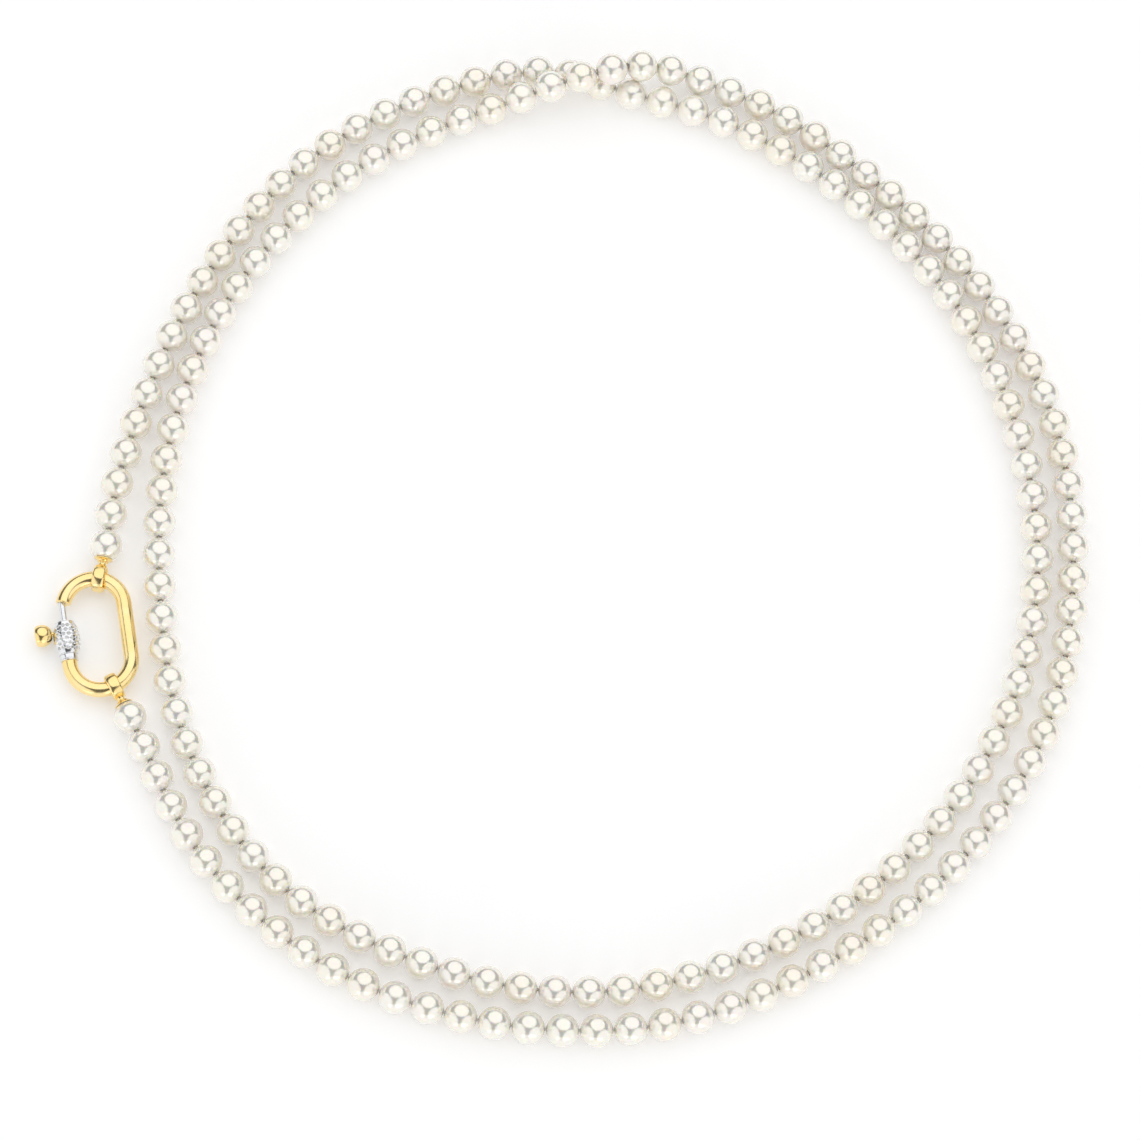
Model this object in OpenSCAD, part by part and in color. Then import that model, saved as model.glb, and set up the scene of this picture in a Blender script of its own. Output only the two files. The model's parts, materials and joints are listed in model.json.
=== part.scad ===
// Pearl necklace: one long strand laid in two turns, closed by a bolt-ring clasp.
// Millimetres. +Z is up, the necklace lies on Z = 0, and the clasp is on the -X side.

/* [Pearls] */
// Diameter of one pearl
pearl_d = 4.9; // [4.7:0.05:4.9]
// Diameter of the hole drilled through each pearl
drill_d = 0.9; // [0.7:0.05:1.1]
// Diameter of the thread
thread_d = 0.5; // [0.3:0.05:0.6]

/* [Clasp frame] */
// Diameter of the round wire that the frame is bent from
wire_d = 2.3; // [2.1:0.05:2.4]
// Radius of the frame's two round ends, to the wire's centre
end_r = 4.6; // [4.5:0.05:4.7]
// Length of the frame's straight sides
side = 8.2; // [8:0.1:8.3]
// Angle of the open side that the upper round end stops short by
cut_angle = 18; // [17:0.5:19]

/* [Barrel and bolt] */
// Diameter of the barrel at its middle
barrel_mid_d = 3.9; // [3.8:0.05:4]
// Diameter of the barrel at its two ends
barrel_end_d = 2.9; // [2.8:0.05:3]
// Diameter of the bolt's pin
pin_d = 1.05; // [0.95:0.05:1.1]
// How far the knob draws the bolt back
bolt_travel = 2.9; // [2.6:0.05:2.95]
// Diameter of the knob
knob_d = 3.4; // [3.2:0.05:3.4]
// Diameter of one set stone
stone_d = 0.62; // [0.56:0.02:0.62]

/* [End fittings] */
// Outer diameter of each band loop
loop_d = 4.2; // [4.1:0.05:4.3]
// Width of each band loop, along the wire that it holds
loop_w = 1.8; // [1.6:0.05:1.9]
// Largest diameter of each end cap, at its rim
cap_d = 2.8; // [2.7:0.05:2.85]

/* [Hidden] */
fine_fn = 96;
curve_fn = 48;
small_fn = 24;
eps = 0.01;
// Length by which a cutting shape passes the face that it cuts
overshoot = 1;

// ---- The strand's route ----
// Points that the thread passes, from the clasp's upper end, under itself at the top,
// once round the inner turn, over itself, and round the outer turn to the clasp's lower end.
route = [
    [-69.5, -5.5], [-68, 6.5], [-65.5, 16], [-56.5, 38.5], [-40, 60], [-19, 72], [-2, 75.5],
    [9.5, 72], [20.5, 69], [41, 57.5], [60.5, 36.5], [68.5, 18], [71, -7], [64.5, -31],
    [49, -51.5], [27, -65.5], [5.5, -71], [-22.5, -66.5], [-42.5, -55], [-56, -35], [-61, -10.5],
    [-60, 14.5], [-50.5, 39], [-34, 57.5], [-11.5, 69], [3.5, 73], [13.5, 75.5], [26.5, 72],
    [48.5, 57], [65, 38.5], [74.5, 18], [76.5, -6], [71.5, -30.5], [56.5, -52.5], [38, -66.5],
    [16, -75.5], [-9.5, -76], [-36, -67], [-53.5, -51.5], [-66, -27.5]
];
pearl_count = 176;
// The second turn passes over the first in one long low hump.
hump_centre = [4.6, 74.1];
hump_height = 5;
hump_reach = 19.5;
steps_per_span = 12;

route_last = len(route) - 1;
span = [for (i = [0:route_last - 1]) norm(route[i + 1] - route[i])];

// Unit-speed direction of the route at point i
function heading(i) =
    i == 0 ? (route[1] - route[0]) / span[0]
    : i == route_last ? (route[i] - route[i - 1]) / span[i - 1]
    : ((route[i + 1] - route[i]) / span[i] * span[i - 1]
       + (route[i] - route[i - 1]) / span[i - 1] * span[i]) / (span[i] + span[i - 1]);

// Cubic curve through points i and i + 1, at t from 0 to 1
function on_span(i, t) =
    (2 * t^3 - 3 * t^2 + 1) * route[i] + (t^3 - 2 * t^2 + t) * span[i] * heading(i)
    + (3 * t^2 - 2 * t^3) * route[i + 1] + (t^3 - t^2) * span[i] * heading(i + 1);

// Height of the thread above the height of a pearl that lies on the ground
function hump(i, p) =
    let (away = norm(p - hump_centre) / hump_reach)
    i > route_last / 2 && away < 1 ? hump_height * (1 + cos(180 * away)) / 2 : 0;

curve = [
    for (i = [0:route_last - 1], k = [0:steps_per_span - 1])
        let (p = on_span(i, k / steps_per_span)) [p.x, p.y, hump(i, p)],
    [route[route_last].x, route[route_last].y, 0]
];
curve_last = len(curve) - 1;
// Length of thread up to each point of the curve
run_length = [
    for (i = 0, s = 0; i <= curve_last;
         s = s + (i < curve_last ? norm(curve[i + 1] - curve[i]) : 0), i = i + 1) s
];
thread_length = run_length[curve_last];
pitch = thread_length / pearl_count;

function table(axis) = [for (i = [0:curve_last]) [run_length[i], curve[i][axis]]];
table_x = table(0);
table_y = table(1);
table_z = table(2);
// Keeps the last lookup inside the tables
table_end = 0.0001;
// Points of the thread in the gaps between pearls, one pitch apart
raw_gap = [
    for (i = [0:pearl_count])
        let (s = min(i * pitch, thread_length - table_end))
        [lookup(s, table_x), lookup(s, table_y), lookup(s, table_z)]
];
raw_pearl = [for (i = [0:pearl_count - 1]) (raw_gap[i] + raw_gap[i + 1]) / 2];
pearl_last = pearl_count - 1;

// ---- The clasp's frame of reference ----
// Its Y axis runs through the centres of the two end pearls, and its X axis points into the loop.
end_line = raw_pearl[0] - raw_pearl[pearl_last];
half_line = norm(end_line) / 2;
clasp_heading = atan2(-end_line.x, end_line.y);
raw_clasp = (raw_pearl[0] + raw_pearl[pearl_last]) / 2;
// The clasp leans down from the pearls until its barrel is just clear of the ground.
clasp_tilt = 2.9;
oval_x = -3.2;
bolt_x = oval_x - end_r;
wire_r = wire_d / 2;

// ---- Barrel, bolt and knob: heights along the bolt, from the clasp's middle ----
barrel_low = -2.65;
barrel_high = 2.5;
ferrule_low = -3.6;
tube_end = -2.4;
chamber_high = 1.9;
chamber_r = 0.92;
flange_r = 0.85;
flange_h = 0.9;
pin_clear = 0.035;
pin_tip = 6.05;
knob_y = 1.05;
post_r = 0.35;
// Where the post starts and ends, from the bolt's axis
post_near = 0.22;
post_far = 2.72;
socket_clear = 0.05;
slot_clear = 0.07;
spring_bore_r = 0.75;
spring_low = -4.7;
spring_coil_r = 0.6;
spring_wire_d = 0.2;
spring_turns = 7;
spring_sides = 6;
spring_steps = 14;
knob_in = 2.05;
knob_out = 4.5;
knob_centre = 3.6;
stone_rows = 6;
stone_columns = 12;
stone_row_pitch = 0.7;
bare_angle = 70;
stone_depth = 0.3;
stone_tip_r = 0.04;
// Room cut above each stone, through the barrel's bulge
stone_room = 0.3;
girdle_depth = 0.04;
crown_h = 0.12;
table_r = 0.17;

// ---- End caps: distances from an end pearl's centre, along the cap's axis ----
seat_r = 2.5;
flare_r = 1.15;
flare_at = 3.27;
neck_r = 0.6;
cap_hole_r = 0.3;
knot_room_r = 0.4;
knot_room_at = 2.6;
knot_r = 0.37;
knot_at = 3;
knot_clear = 0.03;
stub_at = 2.47;
// How far the neck runs past the middle of its flare, into the loop
neck_over = 0.1;
thread_sides = 8;
// Bare length left at each end of a strip's thread
thread_trim = 0.1;
bevel = 0.15;
loop_wall = 0.6;
loop_ro = loop_d / 2;
loop_slack = 0.09;
// The cap's axis points from the end pearl to the centre of the frame's round end.
cap_reach = norm([oval_x, half_line - side / 2]);
cap_lean = atan2(-oval_x, half_line - side / 2);
loop_at = cap_reach - end_r - loop_slack;

// ---- Origin: the middle of the whole necklace's box ----
pearl_r = pearl_d / 2;
knob_face_r = sqrt((knob_d / 2)^2 - (knob_out - knob_centre)^2);
knob_low_x = raw_clasp.x + (bolt_x - knob_out) * cos(clasp_heading) * cos(clasp_tilt)
    - (knob_y + knob_face_r) * sin(clasp_heading);
high_x = max([for (p = raw_pearl) p.x]) + pearl_r;
low_x = min(knob_low_x, min([for (p = raw_pearl) p.x]) - pearl_r);
high_y = max([for (p = raw_pearl) p.y]) + pearl_r;
low_y = min([for (p = raw_pearl) p.y]) - pearl_r;
box_middle = [(low_x + high_x) / 2, (low_y + high_y) / 2, -pearl_r];

gap = [for (p = raw_gap) p - box_middle];
pearl_at = [for (p = raw_pearl) p - box_middle];
clasp_at = raw_clasp - box_middle;

// ---- Strips: seven lengthwise strips, between six lines on which the strand folds ----
fold_x = [-57.5, -40, -18, 28, 43.5, 60.5];
strip_letters = "abcdefg";
function strip_of(x) = len([for (f = fold_x) if (x > f) f]);
pearl_strip = [for (p = pearl_at) strip_of(p.x)];
// First pearl of each run of pearls that lies in one strip
run_start = [for (i = [0:pearl_last]) if (i == 0 || pearl_strip[i] != pearl_strip[i - 1]) i];
run_last = len(run_start) - 1;
function run_end(k) = k < run_last ? run_start[k + 1] - 1 : pearl_last;

// Where the strand passes the strips in turn
lanes = [
    ["top_under", 6], ["right_inner", 1], ["bottom_inner", 5], ["left_inner", 1],
    ["top_over", 5], ["right_outer", 1], ["bottom_outer", 6]
];
run_names = [
    for (lane = lanes) for (j = [0:lane[1] - 1])
        let (first = len([for (m = lanes) if (search([m[0]], lanes)[0] < search([lane[0]], lanes)[0])
                          for (n = [1:m[1]]) n]))
        str("pearls_", lane[0], "_", strip_letters[pearl_strip[run_start[first + j]]])
];
thread_names = [for (s = [0:len(fold_x)]) str("thread_", strip_letters[s])];

// ---- Sweeping a round section along a list of points ----
function unit(v) = v / norm(v);
function direction(p, i) = unit(p[min(i + 1, len(p) - 1)] - p[max(i - 1, 0)]);
// Ring of points round the line at p[i], square to the line
function ring(p, i, r, sides) =
    let (along = direction(p, i),
         across = unit(cross(along, abs(along.z) < 0.9 ? [0, 0, 1] : [1, 0, 0])),
         over = cross(across, along))
    [for (k = [0:sides - 1]) p[i] + r * (cos(360 * k / sides) * across + sin(360 * k / sides) * over)];

module sweep(p, d, sides) {
    last = len(p) - 1;
    points = [for (i = [0:last]) each ring(p, i, d / 2, sides)];
    walls = [
        for (i = [0:last - 1], k = [0:sides - 1])
            let (next = (k + 1) % sides)
            each [[i * sides + k, (i + 1) * sides + next, i * sides + next],
                  [i * sides + k, (i + 1) * sides + k, (i + 1) * sides + next]]
    ];
    near_end = [for (k = [0:sides - 1]) k];
    far_end = [for (k = [sides - 1:-1:0]) last * sides + k];
    polyhedron(points, concat(walls, [near_end], [far_end]), convexity = 10);
}

// ---- Pearls and thread ----
// Turns the Z axis to the direction v
module aim(v) {
    rotate([0, acos(v.z / norm(v)), atan2(v.y, v.x)]) children();
}

module pearl(i) {
    translate(pearl_at[i]) aim(gap[i + 1] - gap[i]) difference() {
        sphere(d = pearl_d, $fn = curve_fn);
        cylinder(d = drill_d, h = pearl_d + overshoot, center = true, $fn = small_fn);
    }
}

// Pearls of one run, without the strand's two end pearls
module pearl_run(k) {
    color("ivory")
    for (i = [max(1, run_start[k]):min(pearl_last - 1, run_end(k))]) pearl(i);
}

module end_pearl_upper() {
    color("ivory") pearl(0);
}

module end_pearl_lower() {
    color("ivory") pearl(pearl_last);
}

// Thread through one run, which stops just short of the fold, or of an end pearl's surface
module thread_run(k) {
    p = [for (i = [run_start[k]:run_end(k) + 1]) gap[i]];
    n = len(p) - 1;
    middle = n > 1 ? [for (i = [1:n - 1]) p[i]] : [];
    first = p[0] + thread_trim * unit(p[1] - p[0]);
    last = p[n] - thread_trim * unit(p[n] - p[n - 1]);
    sweep(concat([first], middle, [last]), thread_d, thread_sides);
}

module thread_strip(s) {
    color("white")
    for (k = [0:run_last]) if (pearl_strip[run_start[k]] == s) thread_run(k);
}

// ---- Clasp ----
module on_clasp() {
    translate(clasp_at) rotate([0, 0, clasp_heading]) rotate([0, -clasp_tilt, 0]) children();
}

// Z runs along the bolt towards the upper end, and X across the clasp.
module on_bolt(height = 0) {
    on_clasp() translate([bolt_x, height, 0]) rotate([-90, 0, 0]) children();
}

// Z runs from the end pearl's centre along the cap's axis, and Y through the clasp's thickness.
module on_cap(end) {
    on_clasp() translate([0, end * half_line, 0]) rotate([0, 0, end * -cap_lean])
        rotate([end * 90, 0, 0]) children();
}

module wire_arc(angle) {
    rotate_extrude(angle = angle, $fn = curve_fn)
        translate([end_r, 0]) circle(d = wire_d, $fn = small_fn);
}

module clasp_frame() {
    color("gold") on_clasp() difference() {
        translate([oval_x, 0, 0]) union() {
            translate([end_r, -side / 2, 0]) rotate([-90, 0, 0])
                cylinder(d = wire_d, h = side, $fn = small_fn);
            translate([-end_r, -side / 2, 0]) rotate([-90, 0, 0])
                cylinder(d = wire_d, h = tube_end + side / 2, $fn = small_fn);
            translate([0, side / 2, 0]) wire_arc(180 - cut_angle);
            translate([0, -side / 2, 0]) rotate([0, 0, 180]) wire_arc(180);
        }
        translate([bolt_x, side / 2, 0]) rotate([-90, 0, 0])
            cylinder(r = pin_d / 2 + pin_clear, h = pin_tip + socket_clear - side / 2, $fn = small_fn);
        translate([bolt_x, spring_low, 0]) rotate([-90, 0, 0])
            cylinder(r = spring_bore_r, h = tube_end - spring_low + overshoot, $fn = small_fn);
    }
}

// Radius of the barrel's bulge at a height
barrel_mid = (barrel_low + barrel_high) / 2;
barrel_half = (barrel_high - barrel_low) / 2;
bulge = (barrel_mid_d - barrel_end_d) / 2;
bulge_r = (barrel_half^2 + bulge^2) / (2 * bulge);
function barrel_r(h) = barrel_mid_d / 2 - bulge_r + sqrt(bulge_r^2 - (h - barrel_mid)^2);

module bulged_body() {
    translate([0, 0, barrel_mid]) rotate_extrude($fn = curve_fn) intersection() {
        translate([barrel_mid_d / 2 - bulge_r, 0]) circle(r = bulge_r, $fn = fine_fn);
        translate([0, -barrel_half]) square([barrel_mid_d, 2 * barrel_half]);
    }
}

// Each stone's place: its angle round the barrel, 0 at the bare side, and its height
stone_step = (360 - bare_angle) / stone_columns;
stone_low = barrel_mid - stone_row_pitch * (stone_rows - 1) / 2;
stone_places = [
    for (row = [0:stone_rows - 1], column = [0:stone_columns - 1 - row % 2])
        [bare_angle / 2 + (column + 0.5 + (row % 2) / 2) * stone_step,
         stone_low + row * stone_row_pitch]
];

// Places its children on the barrel's surface, with Z pointing straight out
module at_stones() {
    for (s = stone_places)
        let (lean = asin((s[1] - barrel_mid) / bulge_r))
        rotate([0, 0, 180 + s[0]]) translate([barrel_r(s[1]), 0, s[1]]) rotate([0, 90 - lean, 0])
            children();
}

module clasp_barrel() {
    slot_r = post_r + slot_clear;
    color("silver") on_bolt() difference() {
        bulged_body();
        translate([0, 0, barrel_low - overshoot])
            cylinder(r = wire_r + eps, h = tube_end - barrel_low + overshoot, $fn = small_fn);
        translate([0, 0, tube_end - eps])
            cylinder(r = chamber_r, h = chamber_high - tube_end + eps, $fn = small_fn);
        cylinder(r = pin_d / 2 + pin_clear, h = barrel_high + overshoot, $fn = small_fn);
        for (h = [knob_y - bolt_travel, knob_y]) translate([0, 0, h]) rotate([0, -90, 0])
            cylinder(r = slot_r, h = barrel_mid_d, $fn = small_fn);
        translate([-barrel_mid_d, -slot_r, knob_y - bolt_travel])
            cube([barrel_mid_d, 2 * slot_r, bolt_travel]);
        at_stones() {
            translate([0, 0, -stone_depth - eps])
                cylinder(r1 = stone_tip_r, r2 = stone_d / 2 + eps, h = stone_depth - girdle_depth + eps,
                         $fn = small_fn);
            translate([0, 0, -girdle_depth])
                cylinder(d = stone_d + 2 * eps, h = stone_room, $fn = small_fn);
        }
    }
}

module pave_stones() {
    color("white") on_bolt() at_stones() {
        translate([0, 0, -stone_depth])
            cylinder(r1 = stone_tip_r, r2 = stone_d / 2, h = stone_depth - girdle_depth, $fn = small_fn);
        translate([0, 0, -girdle_depth])
            cylinder(r1 = stone_d / 2, r2 = table_r, h = crown_h, $fn = small_fn);
    }
}

module barrel_ferrule() {
    ferrule_h = barrel_low - ferrule_low;
    color("silver") on_bolt() translate([0, 0, ferrule_low]) rotate_extrude($fn = curve_fn)
        polygon([
            [wire_r + eps, 0], [wire_r + bevel, 0], [barrel_end_d / 2, bevel],
            [barrel_end_d / 2, ferrule_h - bevel], [barrel_end_d / 2 - bevel, ferrule_h],
            [wire_r + eps, ferrule_h]
        ]);
}

module bolt_spring() {
    low = spring_low + spring_wire_d / 2 + eps;
    high = knob_y - flange_h / 2 - spring_wire_d / 2 - eps;
    count = spring_turns * spring_steps;
    color("gray") on_bolt() sweep(
        [for (i = [0:count])
            [spring_coil_r * cos(360 * i / spring_steps), spring_coil_r * sin(360 * i / spring_steps),
             low + (high - low) * i / count]],
        spring_wire_d, spring_sides);
}

module bolt_pin() {
    color("silver") on_bolt() difference() {
        union() {
            translate([0, 0, knob_y]) cylinder(d = pin_d, h = pin_tip - knob_y, $fn = small_fn);
            translate([0, 0, knob_y - flange_h / 2]) cylinder(r = flange_r, h = flange_h, $fn = small_fn);
        }
        translate([socket_clear - post_near, 0, knob_y]) rotate([0, -90, 0])
            cylinder(r = post_r + eps, h = flange_r, $fn = small_fn);
    }
}

module knob_post() {
    color("gold") on_bolt(knob_y) translate([-post_near, 0, 0]) rotate([0, -90, 0])
        cylinder(r = post_r, h = post_far - post_near, $fn = small_fn);
}

// A ball with its outer face cut flat and its inner side cut back from the barrel
module bolt_knob() {
    color("gold") on_bolt(knob_y) rotate([0, -90, 0]) difference() {
        translate([0, 0, knob_centre]) sphere(d = knob_d, $fn = curve_fn);
        translate([0, 0, knob_in - knob_d]) cylinder(d = 2 * knob_d, h = knob_d, $fn = small_fn);
        translate([0, 0, knob_out]) cylinder(d = 2 * knob_d, h = knob_d, $fn = small_fn);
        cylinder(r = post_r + eps, h = post_far + socket_clear, $fn = small_fn);
    }
}

// ---- End fittings: end is 1 at the upper end and -1 at the lower end ----
// A flared cup that bears on the end pearl, with room inside its neck for the thread's knot
module end_cap(end) {
    color("gold") on_cap(end) difference() {
        rotate_extrude($fn = curve_fn) difference() {
            square([cap_d / 2, flare_at + neck_over]);
            circle(r = seat_r, $fn = fine_fn);
            translate([neck_r + flare_r, flare_at]) circle(r = flare_r, $fn = fine_fn);
            square([cap_hole_r, knot_room_at + eps]);
            translate([0, knot_room_at]) square([knot_room_r, flare_at]);
        }
        translate([0, 0, loop_at]) rotate([0, 90, 0])
            cylinder(r = loop_ro, h = 3 * loop_w, center = true, $fn = curve_fn);
    }
}

// A band round the frame's wire, with a pocket in its outer face for the top of the knot
module end_loop(end) {
    ri = loop_ro - loop_wall;
    half = loop_w / 2;
    color("gold") on_cap(end) difference() {
        translate([0, 0, loop_at]) rotate([0, 90, 0]) rotate_extrude($fn = curve_fn) polygon([
            [ri + bevel, -half], [loop_ro - bevel, -half], [loop_ro, bevel - half],
            [loop_ro, half - bevel], [loop_ro - bevel, half], [ri + bevel, half],
            [ri, half - bevel], [ri, bevel - half]
        ]);
        cylinder(r = knot_room_r, h = knot_at + knot_r + knot_clear, $fn = small_fn);
    }
}

// The knot that ends the thread, with the bit of thread that reaches the end pearl
module end_knot(end) {
    color("white") on_cap(end) {
        translate([0, 0, knot_at]) sphere(r = knot_r, $fn = small_fn);
        translate([0, 0, stub_at]) cylinder(d = thread_d, h = knot_at - stub_at, $fn = small_fn);
    }
}

for (k = [0:run_last]) pearl_run(k);
for (s = [0:len(fold_x)]) thread_strip(s);
end_pearl_upper();
end_pearl_lower();
end_cap(1);  // end_cap_upper
end_cap(-1);  // end_cap_lower
end_loop(1);  // end_loop_upper
end_loop(-1);  // end_loop_lower
end_knot(1);  // end_knot_upper
end_knot(-1);  // end_knot_lower
clasp_frame();
clasp_barrel();
barrel_ferrule();
pave_stones();
bolt_spring();
bolt_pin();
knob_post();
bolt_knob();
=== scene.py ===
"""Looks of the pearl necklace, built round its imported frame. Z is up and the floor is Z = 0.
Lengths named here are millimetres, in the same local frames as the part; MM turns them to metres."""

import json
import math
import random

import bpy
from mathutils import Matrix, Vector

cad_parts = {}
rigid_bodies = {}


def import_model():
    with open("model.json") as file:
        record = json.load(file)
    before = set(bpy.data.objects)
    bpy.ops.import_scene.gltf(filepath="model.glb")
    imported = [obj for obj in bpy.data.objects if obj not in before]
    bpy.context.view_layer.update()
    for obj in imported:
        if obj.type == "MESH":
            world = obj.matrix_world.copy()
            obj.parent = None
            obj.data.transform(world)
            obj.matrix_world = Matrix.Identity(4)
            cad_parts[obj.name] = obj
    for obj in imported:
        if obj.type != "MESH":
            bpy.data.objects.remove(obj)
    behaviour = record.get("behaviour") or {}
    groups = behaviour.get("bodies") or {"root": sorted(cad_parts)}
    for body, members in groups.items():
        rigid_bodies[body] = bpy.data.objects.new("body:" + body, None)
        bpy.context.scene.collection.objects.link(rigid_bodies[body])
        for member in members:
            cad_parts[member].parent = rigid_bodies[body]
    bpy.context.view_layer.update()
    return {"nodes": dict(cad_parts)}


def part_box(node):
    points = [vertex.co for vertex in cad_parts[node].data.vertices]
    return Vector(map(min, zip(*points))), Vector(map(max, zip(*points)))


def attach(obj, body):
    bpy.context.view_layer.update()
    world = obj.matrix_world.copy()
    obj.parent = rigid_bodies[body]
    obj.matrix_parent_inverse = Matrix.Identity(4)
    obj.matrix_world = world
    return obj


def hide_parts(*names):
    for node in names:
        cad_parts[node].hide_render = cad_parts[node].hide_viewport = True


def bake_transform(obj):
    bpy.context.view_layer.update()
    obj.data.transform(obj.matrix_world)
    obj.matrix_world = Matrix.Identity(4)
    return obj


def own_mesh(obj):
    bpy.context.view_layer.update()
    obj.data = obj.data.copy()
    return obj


MM = 0.001

for stray in list(bpy.data.objects):
    bpy.data.objects.remove(stray)
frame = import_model()
dice = random.Random(176)

# ---- Camera: nearly overhead, leaning back towards -Y ----
CAMERA_AT = Vector((-0.02510, -0.23691, 0.71241))
CAMERA_RIGHT = Vector((0.99934, 0.0, 0.03633))
CAMERA_UP = Vector((-0.01126, 0.95077, 0.30968))
CAMERA_BACK = Vector((-0.03455, -0.30989, 0.95015))
CAMERA_LENS = 156.8

camera = bpy.data.objects.new("camera", bpy.data.cameras.new("camera"))
camera.data.lens = CAMERA_LENS
camera.data.sensor_width = 36
camera.data.clip_start = 0.01
axes = Matrix((CAMERA_RIGHT, CAMERA_UP, CAMERA_BACK)).transposed()
camera.matrix_world = Matrix.Translation(CAMERA_AT) @ axes.to_4x4()
bpy.context.collection.objects.link(camera)
bpy.context.scene.camera = camera

# ---- The clasp's frame of reference, as in the part ----
CLASP_TILT = math.radians(2.9)
OVAL_X = -3.2
END_R = 4.6
SIDE = 8.2
CUT_ANGLE = math.radians(18)
WIRE_R = 1.15
BOLT_X = OVAL_X - END_R
LOOP_SLACK = 0.09


def middle_of(node):
    low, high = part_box(node)
    return (low + high) / 2


upper_pearl = middle_of("end_pearl_upper")
lower_pearl = middle_of("end_pearl_lower")
along_bolt = (upper_pearl - lower_pearl).normalized()
half_line = (upper_pearl - lower_pearl).length / 2 / MM
level_x = along_bolt.cross(Vector((0, 0, 1)))
clasp_x = level_x * math.cos(CLASP_TILT) + Vector((0, 0, 1)) * math.sin(CLASP_TILT)
clasp_z = clasp_x.cross(along_bolt)


def placed(origin, x, y, z):
    """Matrix from millimetres in a local frame to metres in the row frame."""
    turn = Matrix((x, y, z)).transposed().to_4x4()
    return Matrix.Translation(origin) @ turn @ Matrix.Scale(MM, 4)


ON_CLASP = placed((upper_pearl + lower_pearl) / 2, clasp_x, along_bolt, clasp_z)
# Z runs along the bolt, and X towards the inside of the clasp.
ON_BOLT = ON_CLASP @ Matrix.Translation((BOLT_X, 0, 0)) @ Matrix.Rotation(-math.pi / 2, 4, "X")
CAP_LEAN = math.atan2(-OVAL_X, half_line - SIDE / 2)
CAP_REACH = math.hypot(OVAL_X, half_line - SIDE / 2)
LOOP_AT = CAP_REACH - END_R - LOOP_SLACK


def on_cap(end):
    """Z runs from an end pearl's centre along its cap's axis, and Y through the clasp's thickness."""
    return (
        ON_CLASP
        @ Matrix.Translation((0, end * half_line, 0))
        @ Matrix.Rotation(-end * CAP_LEAN, 4, "Z")
        @ Matrix.Rotation(end * math.pi / 2, 4, "X")
    )


# ---- Meshes from rings of points ----
def circle(radius, height, sides):
    """Ring of points round the Z axis."""
    turns = [2 * math.pi * k / sides for k in range(sides)]
    return [Vector((radius * math.cos(a), radius * math.sin(a), height)) for a in turns]


def lathe(profile, sides):
    return [circle(radius, height, sides) for radius, height in profile]


def section_frames(path, closed=False):
    """For each point of a path, two directions square to it that don't twist along the path."""
    count = len(path)
    tangents = []
    for i in range(count):
        ahead = path[(i + 1) % count] if closed else path[min(i + 1, count - 1)]
        behind = path[(i - 1) % count] if closed else path[max(i - 1, 0)]
        tangents.append((ahead - behind).normalized())
    across = tangents[0].orthogonal().normalized()
    frames = []
    for tangent in tangents:
        across = (across - tangent * across.dot(tangent)).normalized()
        frames.append((across, tangent.cross(across)))
    return frames


def sweep(path, radius_at, sides, closed=False):
    """Rings round a path. radius_at(i, angle) gives the section's radius at point i."""
    rings = []
    for i, (across, over) in enumerate(section_frames(path, closed)):
        ring = []
        for k in range(sides):
            angle = 2 * math.pi * k / sides
            arm = math.cos(angle) * across + math.sin(angle) * over
            ring.append(path[i] + radius_at(i, angle) * arm)
        rings.append(ring)
    return rings


def skin(rings, closed=False):
    """Points and faces of the surface through the rings, with its ends filled unless it is closed."""
    sides = len(rings[0])
    points = [point for ring in rings for point in ring]
    faces = []
    for i in range(len(rings) if closed else len(rings) - 1):
        here, there = i * sides, (i + 1) % len(rings) * sides
        for k in range(sides):
            turn = (k + 1) % sides
            faces.append((here + k, here + turn, there + turn, there + k))
    if not closed:
        faces.append(tuple(range(sides - 1, -1, -1)))
        faces.append(tuple(range(len(points) - sides, len(points))))
    return points, faces


class Piece:
    """Gathers several surfaces into one mesh object."""

    def __init__(self):
        self.points = []
        self.faces = []
        self.tints = []

    def add(self, surface, place=None, tint=0.5):
        points, faces = surface
        start = len(self.points)
        self.points += [place @ p if place else p for p in points]
        self.faces += [tuple(start + i for i in face) for face in faces]
        self.tints += [tint] * len(points)

    def make(self, name, material, smooth=True):
        mesh = bpy.data.meshes.new(name)
        mesh.from_pydata(self.points, [], self.faces)
        mesh.attributes.new("tint", "FLOAT", "POINT").data.foreach_set("value", self.tints)
        mesh.shade_smooth() if smooth else mesh.shade_flat()
        mesh.materials.append(material)
        piece = bpy.data.objects.new(name, mesh)
        bpy.context.collection.objects.link(piece)
        return piece


def sharp_over(piece, degrees):
    """Keeps edges sharper than an angle crisp."""
    piece.data.set_sharp_from_angle(angle=math.radians(degrees))


def finish_piece(piece, body, slot, *nodes):
    if nodes:
        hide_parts(*nodes)
    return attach(piece, body)


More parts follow.
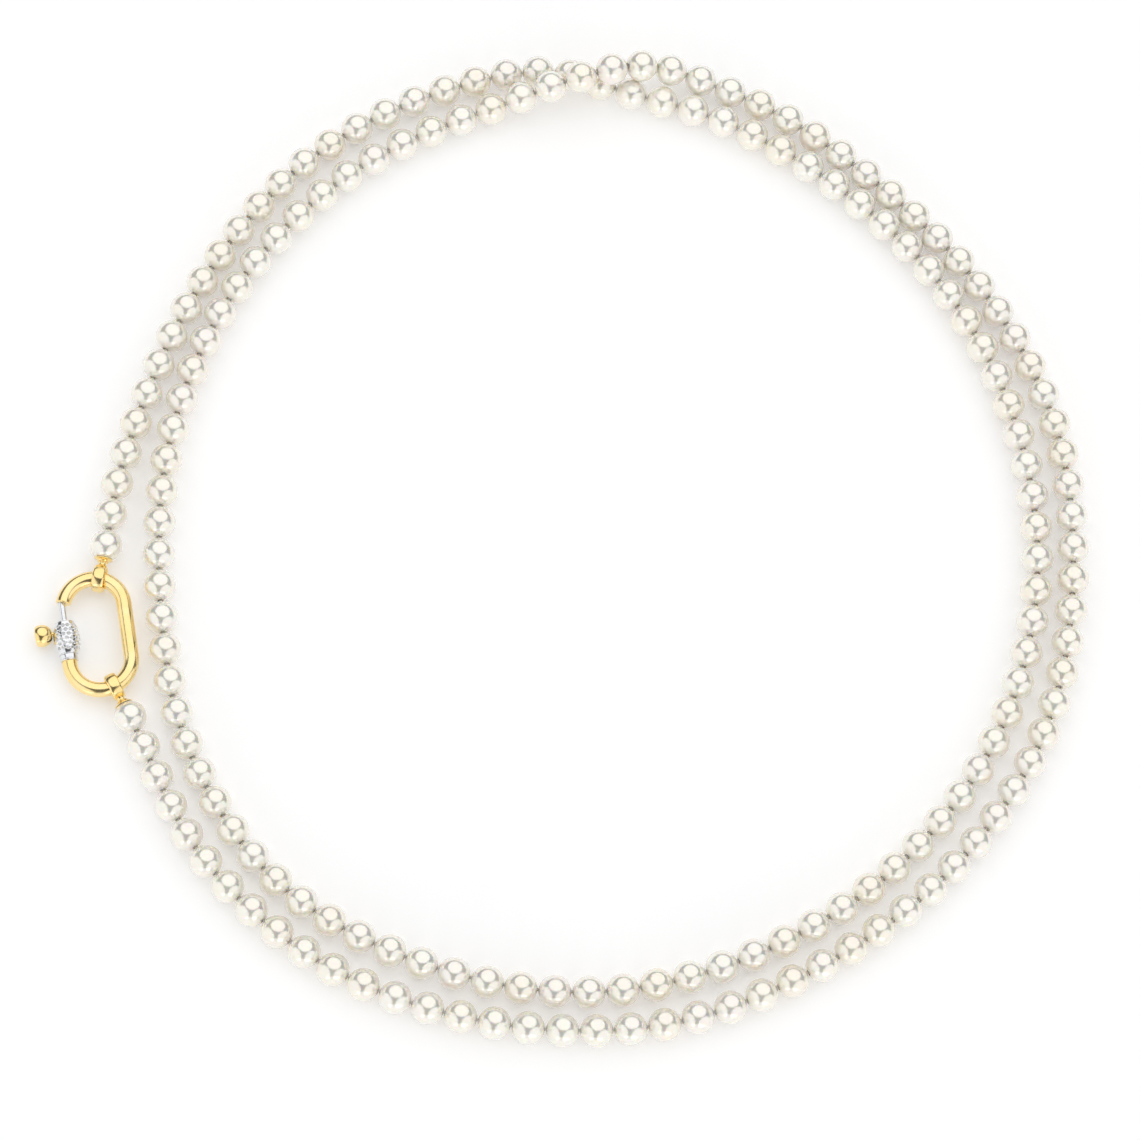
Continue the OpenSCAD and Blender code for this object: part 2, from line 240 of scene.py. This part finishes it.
# ---- Materials ----
class Paint:
    """A material on one Principled shader, with short ways to add its nodes."""

    def __init__(self, name, **sockets):
        self.material = bpy.data.materials.new(name)
        self.material.use_nodes = True
        self.tree = self.material.node_tree
        self.shader = self.tree.nodes["Principled BSDF"]
        for socket, value in sockets.items():
            self.shader.inputs[socket.replace("_", " ")].default_value = value
        self.place = self.node("ShaderNodeTexCoord").outputs["Object"]

    def node(self, kind, **values):
        made = self.tree.nodes.new(kind)
        for key, value in values.items():
            setattr(made, key, value)
        return made

    def feed(self, socket, value):
        if isinstance(value, bpy.types.NodeSocket):
            self.tree.links.new(value, socket)
        else:
            socket.default_value = value

    def noise(self, scale, detail=2.0, roughness=0.5):
        made = self.node("ShaderNodeTexNoise")
        self.feed(made.inputs["Vector"], self.place)
        self.feed(made.inputs["Scale"], scale)
        self.feed(made.inputs["Detail"], detail)
        self.feed(made.inputs["Roughness"], roughness)
        return made.outputs["Fac"]

    def ramp(self, value, stops):
        """Colours at places from 0 to 1."""
        made = self.node("ShaderNodeValToRGB")
        self.feed(made.inputs["Fac"], value)
        elements = made.color_ramp.elements
        while len(elements) < len(stops):
            elements.new(0.5)
        for element, (at, colour) in zip(elements, stops):
            element.position = at
            element.color = (*colour, 1)
        return made.outputs["Color"]

    def between(self, value, low, high):
        """Maps 0..1 to low..high."""
        made = self.node("ShaderNodeMapRange")
        self.feed(made.inputs["Value"], value)
        made.inputs["To Min"].default_value = low
        made.inputs["To Max"].default_value = high
        return made.outputs["Result"]

    def mixed(self, share, a, b, way="MIX"):
        made = self.node("ShaderNodeMix", data_type="RGBA", blend_type=way)
        self.feed(made.inputs["Factor"], share)
        self.feed(made.inputs[6], a)
        self.feed(made.inputs[7], b)
        return made.outputs[2]

    def bump(self, height, distance, strength=1.0):
        made = self.node("ShaderNodeBump")
        self.feed(made.inputs["Height"], height)
        made.inputs["Strength"].default_value = strength
        made.inputs["Distance"].default_value = distance
        self.feed(self.shader.inputs["Normal"], made.outputs["Normal"])


def nacre():
    """Creamy white with a deep soft mirror, and pink, green and gold overtones."""
    paint = Paint(
        "nacre", Metallic=0.48, IOR=1.5, Coat_Weight=0.3, Coat_Roughness=0.06, Coat_IOR=1.5,
        Subsurface_Weight=0.6, Subsurface_Radius=(1.0, 0.68, 0.38), Subsurface_Scale=0.0022,
    )
    tint = paint.node("ShaderNodeAttribute", attribute_name="tint").outputs["Fac"]
    own = paint.ramp(tint, [
        (0.0, (0.965, 0.87, 0.74)), (0.35, (0.97, 0.905, 0.80)), (0.65, (0.97, 0.92, 0.84)),
        (1.0, (0.97, 0.885, 0.815)),
    ])
    clouds = paint.noise(420, 3)
    overtone = paint.ramp(clouds, [
        (0.30, (0.96, 0.86, 0.83)), (0.45, (0.95, 0.92, 0.86)), (0.58, (0.93, 0.93, 0.86)),
        (0.72, (0.96, 0.89, 0.76)),
    ])
    paint.feed(paint.shader.inputs["Base Color"], paint.mixed(0.4, own, overtone))
    paint.feed(paint.shader.inputs["Roughness"], paint.between(paint.noise(1300, 2), 0.13, 0.22))
    paint.bump(paint.noise(2600, 3), 0.000006, 0.5)
    return paint.material


def polished(name, pale, deep, rough_low, rough_high):
    """Polished precious metal, with faint polishing haze and a slightly deeper tone in patches."""
    paint = Paint(name, Metallic=1.0)
    cloud = paint.noise(260, 3)
    paint.feed(paint.shader.inputs["Base Color"], paint.ramp(cloud, [(0.35, deep), (0.65, pale)]))
    paint.feed(paint.shader.inputs["Roughness"], paint.between(paint.noise(900, 4), rough_low, rough_high))
    paint.bump(paint.noise(1400, 4, 0.6), 0.00002, 0.12)
    return paint.material


def brushed_steel():
    paint = Paint("bolt_steel_finish", Metallic=1.0)
    stretch = paint.node("ShaderNodeMapping")
    paint.feed(stretch.inputs["Vector"], paint.place)
    stretch.inputs["Scale"].default_value = (1, 14, 1)
    grain = paint.node("ShaderNodeTexNoise")
    paint.feed(grain.inputs["Vector"], stretch.outputs["Vector"])
    grain.inputs["Scale"].default_value = 700
    grain.inputs["Detail"].default_value = 3
    grey = paint.ramp(grain.outputs["Fac"], [(0.3, (0.70, 0.71, 0.73)), (0.7, (0.84, 0.85, 0.87))])
    paint.feed(paint.shader.inputs["Base Color"], grey)
    paint.feed(paint.shader.inputs["Roughness"], paint.between(grain.outputs["Fac"], 0.12, 0.22))
    return paint.material


def clear_stone():
    """Cut clear stone: faces flash by their own tilt, and a faint smoke shows inside."""
    paint = Paint("clear_stone_finish", IOR=2.4, Roughness=0.01, Transmission_Weight=0.65, Metallic=0.08)
    smoke = paint.ramp(paint.noise(3000, 1), [(0.35, (0.88, 0.91, 0.95)), (0.6, (1.0, 1.0, 1.0))])
    paint.feed(paint.shader.inputs["Base Color"], smoke)
    return paint.material


def silk():
    paint = Paint("thread_silk_finish", Roughness=0.55, Sheen_Weight=0.4)
    fibre = paint.noise(6000, 4)
    paint.feed(paint.shader.inputs["Base Color"], paint.ramp(
        fibre, [(0.3, (0.78, 0.74, 0.66)), (0.7, (0.93, 0.91, 0.86))]))
    paint.bump(fibre, 0.00002, 0.6)
    return paint.material


NACRE = nacre()
GOLD = polished("yellow_gold_finish", (1.0, 0.80, 0.41), (0.97, 0.73, 0.31), 0.14, 0.24)
WHITE_METAL = polished("white_metal_finish", (0.83, 0.835, 0.85), (0.74, 0.75, 0.77), 0.05, 0.13)
STEEL = brushed_steel()
STONE = clear_stone()
SILK = silk()

# ---- Pearls ----
PEARL_R = 2.45
DRILL_R = 0.45
PEARL_SIDES = 40
PEARL_RINGS = 22
LANES = [
    ("top_under", "abcdef"), ("right_inner", "g"), ("bottom_inner", "fedcb"), ("left_inner", "a"),
    ("top_over", "bcdef"), ("right_outer", "g"), ("bottom_outer", "fedcba"),
]
runs = [(f"pearls_{lane}_{strip}", strip) for lane, strips in LANES for strip in strips]


def separate_middles(mesh):
    """Middle of the box round each separate surface of a mesh."""
    parent = list(range(len(mesh.vertices)))

    def root(i):
        while parent[i] != i:
            parent[i] = parent[parent[i]]
            i = parent[i]
        return i

    for a, b in mesh.edge_keys:
        parent[root(a)] = root(b)
    corners = {}
    for i, vertex in enumerate(mesh.vertices):
        low, high = corners.setdefault(root(i), (vertex.co.copy(), vertex.co.copy()))
        for k in range(3):
            low[k] = min(low[k], vertex.co[k])
            high[k] = max(high[k], vertex.co[k])
    return [(low + high) / 2 for low, high in corners.values()]


def pearl_centres(node):
    """A pearl's skin and its drilled hole share one middle, so each middle counts once."""
    centres = []
    for middle in separate_middles(frame["nodes"][node].data):
        if all((middle - centre).length > PEARL_R * MM for centre in centres):
            centres.append(middle)
    return centres


# Each pearl is (centre, node, strip), in the order in which the thread passes them.
strand = [(upper_pearl, "end_pearl_upper", "a")]
for lane_node, lane_strip in runs:
    waiting = pearl_centres(lane_node)
    while waiting:
        nearest = min(waiting, key=lambda centre: (centre - strand[-1][0]).length)
        waiting.remove(nearest)
        strand.append((nearest, lane_node, lane_strip))
strand.append((lower_pearl, "end_pearl_lower", "a"))
centres = [pearl[0] for pearl in strand]
gaps = [(a + b) / 2 for a, b in zip(centres, centres[1:])]
gaps = [2 * centres[0] - gaps[0], *gaps, 2 * centres[-1] - gaps[-1]]


def pearl_surface():
    """A pearl of radius 1 with its hole drilled along Z, its edges slightly eased."""
    drill = DRILL_R / PEARL_R
    start = math.asin(drill) + 0.03
    profile = [
        (math.sin(start + (math.pi - 2 * start) * k / PEARL_RINGS),
         math.cos(start + (math.pi - 2 * start) * k / PEARL_RINGS))
        for k in range(PEARL_RINGS + 1)
    ]
    rim = math.cos(start)
    profile += [(drill, -rim + 0.02), (drill, 0), (drill, rim - 0.02)]
    return skin(lathe(profile[::-1], PEARL_SIDES), closed=True)


PEARL_POINTS, PEARL_FACES = pearl_surface()


def add_pearl(piece, i):
    """One pearl, a hair off round and off size as cultured pearls are, and never over size."""
    along = (gaps[i + 1] - gaps[i]).normalized()
    turn = along.to_track_quat("Z", "Y").to_matrix() @ Matrix.Rotation(dice.uniform(0, math.tau), 3, "Z")
    smaller = dice.uniform(0, 0.003)
    flatter = dice.uniform(0, 0.004)
    lean = Vector([dice.gauss(0, 1) for _ in range(3)]).normalized()
    points = []
    for unit_point in PEARL_POINTS:
        size = PEARL_R * MM * (1 - smaller - flatter * unit_point.dot(lean) ** 2)
        points.append(centres[i] + turn @ unit_point * size)
    piece.add((points, PEARL_FACES), tint=dice.random())


def make_pearls():
    nodes = {}
    for i, (_, node, strip) in enumerate(strand):
        nodes.setdefault((node, strip), []).append(i)
    for (node, strip), members in nodes.items():
        piece = Piece()
        for i in members:
            add_pearl(piece, i)
        made = piece.make("round_" + node, NACRE)
        sharp_over(made, 50)
        finish_piece(made, "strip_" + strip, "pearl_nacre", node)


# ---- Thread: three plies twisted together, whole inside each strip, with a short piece across each fold ----
THREAD_R = 0.25
THREAD_SIDES = 12
THREAD_STEP = 0.35
PLY_DEPTH = 0.12
PLY_LENGTH = 2.2


def thread_surface(route):
    """Twisted thread along a route of points in metres."""
    path = []
    for a, b in zip(route, route[1:]):
        steps = max(1, round((b - a).length / MM / THREAD_STEP))
        path += [a.lerp(b, k / steps) for k in range(steps)]
    path.append(route[-1])

    def radius_at(i, angle):
        twist = math.tau * i * THREAD_STEP / PLY_LENGTH
        return THREAD_R * MM * (1 - PLY_DEPTH * (1 + math.cos(3 * (angle - twist))) / 2)

    return skin(sweep(path, radius_at, THREAD_SIDES))


def make_thread():
    threads = {}
    first = 0
    crossings = []
    for i in range(1, len(strand) + 1):
        if i < len(strand) and strand[i][2] == strand[first][2]:
            continue
        route = [centres[first]]
        for k in range(first + 1, i):
            route += [gaps[k], centres[k]]
        if len(route) > 1:
            threads.setdefault(strand[first][2], Piece()).add(thread_surface(route))
        if i < len(strand):
            crossings.append(i)
        first = i
    for strip, piece in threads.items():
        made = piece.make("twisted_thread_" + strip, SILK)
        finish_piece(made, "strip_" + strip, "thread_silk", "thread_" + strip)
    for number, i in enumerate(crossings, 1):
        piece = Piece()
        piece.add(thread_surface([centres[i - 1], gaps[i], centres[i]]))
        made = piece.make(f"thread_over_fold_{number:02d}", SILK)
        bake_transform(made)

# ---- Clasp: the frame ----
FRAME_SIDES = 56
UPPER_STEPS, LOWER_STEPS = 72, 80
PIN_R = 0.525
PIN_TIP = 6.05
SOCKET_R = PIN_R + 0.035
SOCKET_END = 6.1
WIRE_EDGE = 0.16
TUBE_MIDDLE, TUBE_END = -3.4, -2.4


def frame_path():
    """The wire's centre line in the clasp's frame, from the cut end round to inside the barrel."""
    def arc(centre_y, start, end, steps):
        return [
            Vector((OVAL_X + END_R * math.cos(a), centre_y + END_R * math.sin(a), 0))
            for a in (start + (end - start) * k / steps for k in range(steps + 1))
        ]

    upper = arc(SIDE / 2, math.pi - CUT_ANGLE, 0, UPPER_STEPS)
    lower = arc(-SIDE / 2, 0, -math.pi, LOWER_STEPS)
    tube = [Vector((BOLT_X, y, 0)) for y in (TUBE_MIDDLE, TUBE_END)]
    return upper + lower + tube


def frame_surface():
    """Round wire with an eased edge and a drilled socket at its cut end."""
    path = frame_path()
    rings = sweep(path, lambda i, angle: WIRE_R, FRAME_SIDES)
    cut = rings[0]
    face_at = path[0]
    into = (path[1] - path[0]).normalized()
    lip = [face_at + (p - face_at) * (1 - WIRE_EDGE / WIRE_R) for p in cut]
    rings[0] = [p + into * WIRE_EDGE * 0.9 for p in cut]
    corner = [face_at + (p - face_at) * (1 - 0.3 * WIRE_EDGE / WIRE_R) + into * WIRE_EDGE * 0.25 for p in cut]
    # The socket runs along the bolt, so its mouth is where the bolt's pin meets the slanted cut face.
    bolt_line = Vector((BOLT_X, 0, 0))
    mouth, floor = [], []
    for p in cut:
        arm = p - face_at
        arm.y = 0
        arm = arm.normalized() * SOCKET_R
        on_pin = bolt_line + arm
        reach = (face_at - on_pin).dot(into) / into.y
        mouth.append(on_pin + Vector((0, reach, 0)))
        floor.append(on_pin + Vector((0, SOCKET_END, 0)))
    rings = [floor, mouth, lip, corner, *rings]
    return skin(rings)


# ---- Clasp: turned pieces ----
BARREL_LOW, BARREL_HIGH = -2.65, 2.5
BARREL_END_R = 1.45
BARREL_MID_R = 1.95
FERRULE_LOW = -3.6
KNOB_Y = 1.05
POST_R = 0.35
KNOB_R = 1.7
KNOB_IN, KNOB_OUT, KNOB_CENTRE = 2.05, 4.5, 3.6
FLANGE_R, FLANGE_H = 0.85, 0.9
TURNED_SIDES = 64


def eased(profile, reach, steps=4):
    """Rounds each inner corner of a profile."""
    out = [profile[0]]
    for before, here, after in zip(profile, profile[1:], profile[2:]):
        b, h, a = Vector(before), Vector(here), Vector(after)
        cut = min(reach, (b - h).length / 2.2, (a - h).length / 2.2)
        start, end = h + (b - h).normalized() * cut, h + (a - h).normalized() * cut
        for k in range(steps + 1):
            t = k / steps
            out.append(tuple(start * (1 - t) ** 2 + h * 2 * t * (1 - t) + end * t ** 2))
    out.append(profile[-1])
    return out


def turned(profile, reach, sides=TURNED_SIDES, closed=False):
    if closed:
        profile = eased([profile[-1], *profile, profile[0]], reach)[1:-1]
    else:
        profile = eased(profile, reach)
    return skin(lathe(profile, sides), closed=closed)


def arc_profile(centre_r, centre_h, radius, start, end, steps):
    """Profile points on an arc; angles in degrees from the outward direction."""
    return [
        (centre_r + radius * math.cos(math.radians(start + (end - start) * k / steps)),
         centre_h + radius * math.sin(math.radians(start + (end - start) * k / steps)))
        for k in range(steps + 1)
    ]


def ferrule_surface():
    """A ring with a fine turned groove near its lower edge."""
    r, low, high = BARREL_END_R, FERRULE_LOW, BARREL_LOW
    inner = WIRE_R + 0.01
    profile = [
        (inner, low), (r - 0.06, low), (r, low + 0.08), (r, low + 0.2), (r - 0.06, low + 0.24),
        (r, low + 0.28), (r, high - 0.06), (r - 0.05, high), (inner, high),
    ]
    return turned(profile, 0.05, closed=True)


def barrel_rim_surface(height, radius):
    """A thin polished bead that edges the stones."""
    return skin(lathe(arc_profile(radius - 0.02, height, 0.085, 0, 360, 16)[:-1], TURNED_SIDES), closed=True)


def pin_surface():
    low = KNOB_Y - FLANGE_H / 2
    high = KNOB_Y + FLANGE_H / 2
    profile = [
        (0.01, low), (FLANGE_R, low), (FLANGE_R, high), (PIN_R, high), (PIN_R, PIN_TIP - 0.3),
        (PIN_R - 0.14, PIN_TIP), (0.01, PIN_TIP),
    ]
    return turned(profile, 0.12, 48)


def knob_surface():
    """A polished ball with its outer face turned flat, on the post's axis."""
    def on_ball(height):
        return math.degrees(math.asin((height - KNOB_CENTRE) / KNOB_R))

    ball = arc_profile(0, KNOB_CENTRE, KNOB_R, on_ball(KNOB_IN), on_ball(KNOB_OUT), 28)
    face_r = ball[-1][0]
    profile = [
        (POST_R, KNOB_IN), (ball[0][0] - 0.02, KNOB_IN), *ball[1:-1], (face_r, KNOB_OUT - 0.04),
        (face_r - 0.12, KNOB_OUT), (0.9, KNOB_OUT), (0.82, KNOB_OUT - 0.03), (0.01, KNOB_OUT - 0.03),
    ]
    return skin(lathe(profile, TURNED_SIDES))


def post_surface():
    near, far = 0.22, KNOB_IN + 0.4
    return turned([(0.01, near), (POST_R, near), (POST_R, far), (0.01, far)], 0.04, 32)


# ---- Clasp: set stones ----
BULGE = BARREL_MID_R - BARREL_END_R
BARREL_MIDDLE = (BARREL_LOW + BARREL_HIGH) / 2
BARREL_HALF = (BARREL_HIGH - BARREL_LOW) / 2
BULGE_R = (BARREL_HALF ** 2 + BULGE ** 2) / (2 * BULGE)
STONE_R = 0.31
STONE_SINK = 0.04
STONE_NOD = 0.06
BEAD_R, BEAD_SINK = 0.1, 0.03
STONE_ROWS, STONE_COLUMNS, ROW_PITCH = 6, 12, 0.7
BARE_ANGLE = math.radians(70)
STONE_STEP = (math.tau - BARE_ANGLE) / STONE_COLUMNS


def barrel_r(height):
    return BARREL_MID_R - BULGE_R + math.sqrt(BULGE_R ** 2 - (height - BARREL_MIDDLE) ** 2)


def on_barrel(angle, height):
    """Z points straight out of the barrel's surface, and X down along it."""
    lean = math.asin((height - BARREL_MIDDLE) / BULGE_R)
    return (
        ON_BOLT
        @ Matrix.Rotation(math.pi + angle, 4, "Z")
        @ Matrix.Translation((barrel_r(height), 0, height))
        @ Matrix.Rotation(math.pi / 2 - lean, 4, "Y")
    )


def stone_spots(half_steps):
    """Angle and height of each stone, or of each bead between stones when half_steps is set."""
    low = BARREL_MIDDLE - ROW_PITCH * (STONE_ROWS - 1) / 2
    for row in range(STONE_ROWS):
        odd = row % 2
        count = STONE_COLUMNS - odd + (1 if half_steps else 0)
        for column in range(count):
            step = column + (0 if half_steps else 0.5) + odd / 2
            yield BARE_ANGLE / 2 + step * STONE_STEP, low + row * ROW_PITCH


def brilliant():
    """Points and faces of one round brilliant cut, table up: the girdle is at height 0."""
    def ring(radius, height, count, offset):
        return [
            Vector((radius * math.cos(math.tau * (k + offset) / count),
                    radius * math.sin(math.tau * (k + offset) / count), height))
            for k in range(count)
        ]

    table = ring(0.56 * STONE_R, 0.12, 8, 0)
    star = ring(0.80 * STONE_R, 0.075, 8, 0.5)
    girdle_up = ring(STONE_R, 0.008, 16, 0)
    girdle_low = ring(STONE_R, -0.008, 16, 0)
    main = ring(0.42 * STONE_R, -0.165, 8, 0.5)
    points = table + star + girdle_up + girdle_low + main + [Vector((0, 0, -0.26))]
    faces = [tuple(range(8))]
    for k in range(8):
        after = (k + 1) % 8
        g, g1, g2 = 16 + 2 * k, 17 + 2 * k, 16 + (2 * k + 2) % 16
        faces.append((k, 8 + k, after))
        faces.append((8 + (k - 1) % 8, k, 8 + k, g))
        faces.append((8 + k, g1, g))
        faces.append((8 + k, g2, g1))
        faces.append((g, g1, g1 + 16, g + 16))
        faces.append((g1, g2, g2 + 16, g1 + 16))
        m, m_before = 48 + k, 48 + (k - 1) % 8
        faces.append((g + 16, g1 + 16, m))
        faces.append((g1 + 16, g2 + 16, m))
        faces.append((g + 16, m, 56, m_before))
    return points, faces


def make_stones():
    stones = Piece()
    cut = brilliant()
    sunk = Matrix.Translation((0, 0, -STONE_SINK))
    for angle, height in stone_spots(False):
        spin = Matrix.Rotation(dice.uniform(0, math.tau), 4, "Z")
        nod = Matrix.Rotation(dice.uniform(-STONE_NOD, STONE_NOD), 4, "X")
        stones.add(cut, on_barrel(angle, height) @ sunk @ nod @ spin)
    made = stones.make("brilliant_stones", STONE, smooth=False)
    finish_piece(made, "clasp", "clear_stone", "pave_stones")

    beads = Piece()
    bead = skin(lathe(arc_profile(0, 0, BEAD_R, -80, 84, 7), 12))
    for angle, height in stone_spots(True):
        beads.add(bead, on_barrel(angle, height) @ Matrix.Translation((0, 0, -BEAD_SINK)))
    made = beads.make("setting_beads", WHITE_METAL)
    finish_piece(made, "clasp", "white_metal")


# ---- Clasp: the spring ----
SPRING_LOW, SPRING_R, SPRING_WIRE_R, SPRING_TURNS = -4.7, 0.6, 0.1, 7
SPRING_STEPS = 28
SPRING_CLEAR = 0.01


def spring_surface():
    low = SPRING_LOW + SPRING_WIRE_R + SPRING_CLEAR
    high = KNOB_Y - FLANGE_H / 2 - SPRING_WIRE_R - SPRING_CLEAR
    steps = SPRING_TURNS * SPRING_STEPS
    path = []
    for k in range(steps + 1):
        a = math.tau * k / SPRING_STEPS
        path.append(Vector((SPRING_R * math.cos(a), SPRING_R * math.sin(a), low + (high - low) * k / steps)))
    return skin(sweep(path, lambda i, angle: SPRING_WIRE_R, 10))


# ---- End fittings ----
CAP_R = 1.4
SEAT_R = 2.5
NECK_R = 0.6
LOOP_R = 2.1
LOOP_WALL = 0.6
LOOP_HALF = 0.9


def cap_surface():
    """Flared cup: a rolled lip on the pearl, a hollow flare, a turned step and a waisted neck."""
    inside_lip = 1.32
    seat = arc_profile(0, 0, SEAT_R, 83, math.degrees(math.acos(inside_lip / SEAT_R)), 10)
    lip_h = seat[-1][1]
    lip = arc_profile(CAP_R - 0.07, lip_h + 0.07, 0.07, -100, 60, 6)
    flare = arc_profile(NECK_R + 1.15, 3.27, 1.15, 236, 212, 8)
    step = arc_profile(0.80, 2.66, 0.07, -60, 60, 5)
    neck = arc_profile(NECK_R + 0.45, 3.0, 0.45, 210, 150, 8)
    return skin(lathe([*seat, *lip, *flare, *step, *neck, (0.7, 3.3), (0.3, 3.32)], 56), closed=True)


def loop_surface():
    """A band with a crowned outer face and well-rounded edges."""
    middle = LOOP_R - LOOP_WALL / 2
    power = 0.8
    section_steps = 28
    section = []
    for k in range(section_steps):
        a = math.tau * k / section_steps
        c, s = math.cos(a), math.sin(a)
        section.append((middle + LOOP_WALL / 2 * math.copysign(abs(c) ** power, c),
                        LOOP_HALF * math.copysign(abs(s) ** power, s)))
    return skin(lathe(section, TURNED_SIDES), closed=True)


def knot_surface():
    """The pulled-tight knot that ends the thread."""
    steps = 60
    path = []
    for k in range(steps):
        a = math.tau * k / steps
        path.append(Vector((
            (math.sin(a) + 2 * math.sin(2 * a)) * 0.075,
            (math.cos(a) - 2 * math.cos(2 * a)) * 0.075,
            3.0 - math.sin(3 * a) * 0.12,
        )))
    return skin(sweep(path, lambda i, angle: 0.12, 10, closed=True), closed=True)


def make_fittings():
    for end, side in ((1, "upper"), (-1, "lower")):
        place = on_cap(end)
        cap = Piece()
        cap.add(cap_surface(), place)
        made = cap.make("flared_cap_" + side, GOLD)
        sharp_over(made, 50)
        finish_piece(made, "end_fittings", "yellow_gold", "end_cap_" + side)

        loop = Piece()
        across = Matrix.Translation((0, 0, LOOP_AT)) @ Matrix.Rotation(math.pi / 2, 4, "Y")
        loop.add(loop_surface(), place @ across)
        made = loop.make("band_loop_" + side, GOLD)
        finish_piece(made, "end_fittings", "yellow_gold", "end_loop_" + side)

        knot = Piece()
        knot.add(knot_surface(), place)
        knot.add(skin(lathe([(THREAD_R, 2.47), (THREAD_R, 3.0)], THREAD_SIDES)), place)
        made = knot.make("tied_knot_" + side, SILK)
        finish_piece(made, "end_fittings", "thread_silk", "end_knot_" + side)


def make_clasp():
    def one(name, surface, place, material, body, slot, *nodes, crisp=50):
        piece = Piece()
        piece.add(surface, place)
        made = piece.make(name, material)
        sharp_over(made, crisp)
        return finish_piece(made, body, slot, *nodes)

    off_bolt = ON_BOLT @ Matrix.Translation((0, 0, KNOB_Y)) @ Matrix.Rotation(-math.pi / 2, 4, "Y")
    one("oval_wire_frame", frame_surface(), ON_CLASP, GOLD, "clasp", "yellow_gold", "clasp_frame")
    one("turned_ferrule", ferrule_surface(), ON_BOLT, WHITE_METAL, "clasp", "white_metal", "barrel_ferrule")
    one("barrel_rim_upper", barrel_rim_surface(BARREL_HIGH - 0.1, BARREL_END_R), ON_BOLT, WHITE_METAL,
        "clasp", "white_metal")
    one("barrel_rim_lower", barrel_rim_surface(BARREL_LOW + 0.1, BARREL_END_R), ON_BOLT, WHITE_METAL,
        "clasp", "white_metal")
    one("turned_bolt_pin", pin_surface(), ON_BOLT, STEEL, "bolt", "bolt_steel", "bolt_pin")
    one("turned_knob", knob_surface(), off_bolt, GOLD, "bolt", "yellow_gold", "bolt_knob")
    one("turned_post", post_surface(), off_bolt, GOLD, "bolt", "yellow_gold", "knob_post")
    spring = one("coiled_spring", spring_surface(), ON_BOLT, STEEL, "clasp", "bolt_steel", "bolt_spring")
    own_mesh(spring)
    frame["nodes"]["clasp_barrel"].data.materials[0] = WHITE_METAL


make_pearls()
make_thread()
make_fittings()
make_clasp()
make_stones()


# ---- Floor and studio light ----
def stage_floor():
    paint = Paint("floor_paper", Roughness=0.9, Emission_Color=(1, 1, 1, 1), Emission_Strength=0.21)
    paint.feed(paint.shader.inputs["Base Color"], paint.ramp(
        paint.noise(30, 2), [(0.3, (0.90, 0.90, 0.90)), (0.7, (0.92, 0.92, 0.92))]))
    floor = Piece()
    reach = 4.0
    corners = [Vector((x * reach, y * reach, 0)) for x, y in ((-1, -1), (1, -1), (1, 1), (-1, 1))]
    floor.add((corners, [(0, 1, 2, 3)]))
    floor.make("floor", paint.material, smooth=False)


def softbox(name, turn, off_axis, half_width, brightness, distance=1.3):
    """A round softbox as a pearl sees it: turn is its bearing round the line to the camera, in degrees
    from the picture's right, off_axis how far it stands from that line, and half_width its half angle."""
    side = math.sin(math.radians(off_axis))
    direction = (
        CAMERA_RIGHT * side * math.cos(math.radians(turn))
        + CAMERA_UP * side * math.sin(math.radians(turn))
        + CAMERA_BACK * math.cos(math.radians(off_axis))
    )
    radius = distance * math.tan(math.radians(half_width))
    light = bpy.data.objects.new(name, bpy.data.lights.new(name, "AREA"))
    light.data.shape = "DISK"
    light.data.size = 2 * radius
    # Power of a flat lamp whose face has this brightness
    light.data.energy = brightness * math.pi * math.pi * radius ** 2
    light.visible_camera = False
    aimed = direction.to_track_quat("Z", "Y").to_matrix().to_4x4()
    light.matrix_world = Matrix.Translation(direction * distance) @ aimed
    bpy.context.collection.objects.link(light)


def studio():
    softbox("softbox_above", 80, 50, 47, 1.08)
    softbox("softbox_left", 200, 68, 43, 0.95)
    softbox("softbox_right", -40, 62, 40, 0.95)
    softbox("softbox_below", 268, 88, 42, 0.75)
    world = bpy.data.worlds.new("room")
    world.use_nodes = True
    world.node_tree.nodes["Background"].inputs["Color"].default_value = (0.97, 0.98, 1.0, 1)
    world.node_tree.nodes["Background"].inputs["Strength"].default_value = 0.12
    bpy.context.scene.world = world
    bpy.context.scene.view_settings.view_transform = "Standard"


stage_floor()
studio()
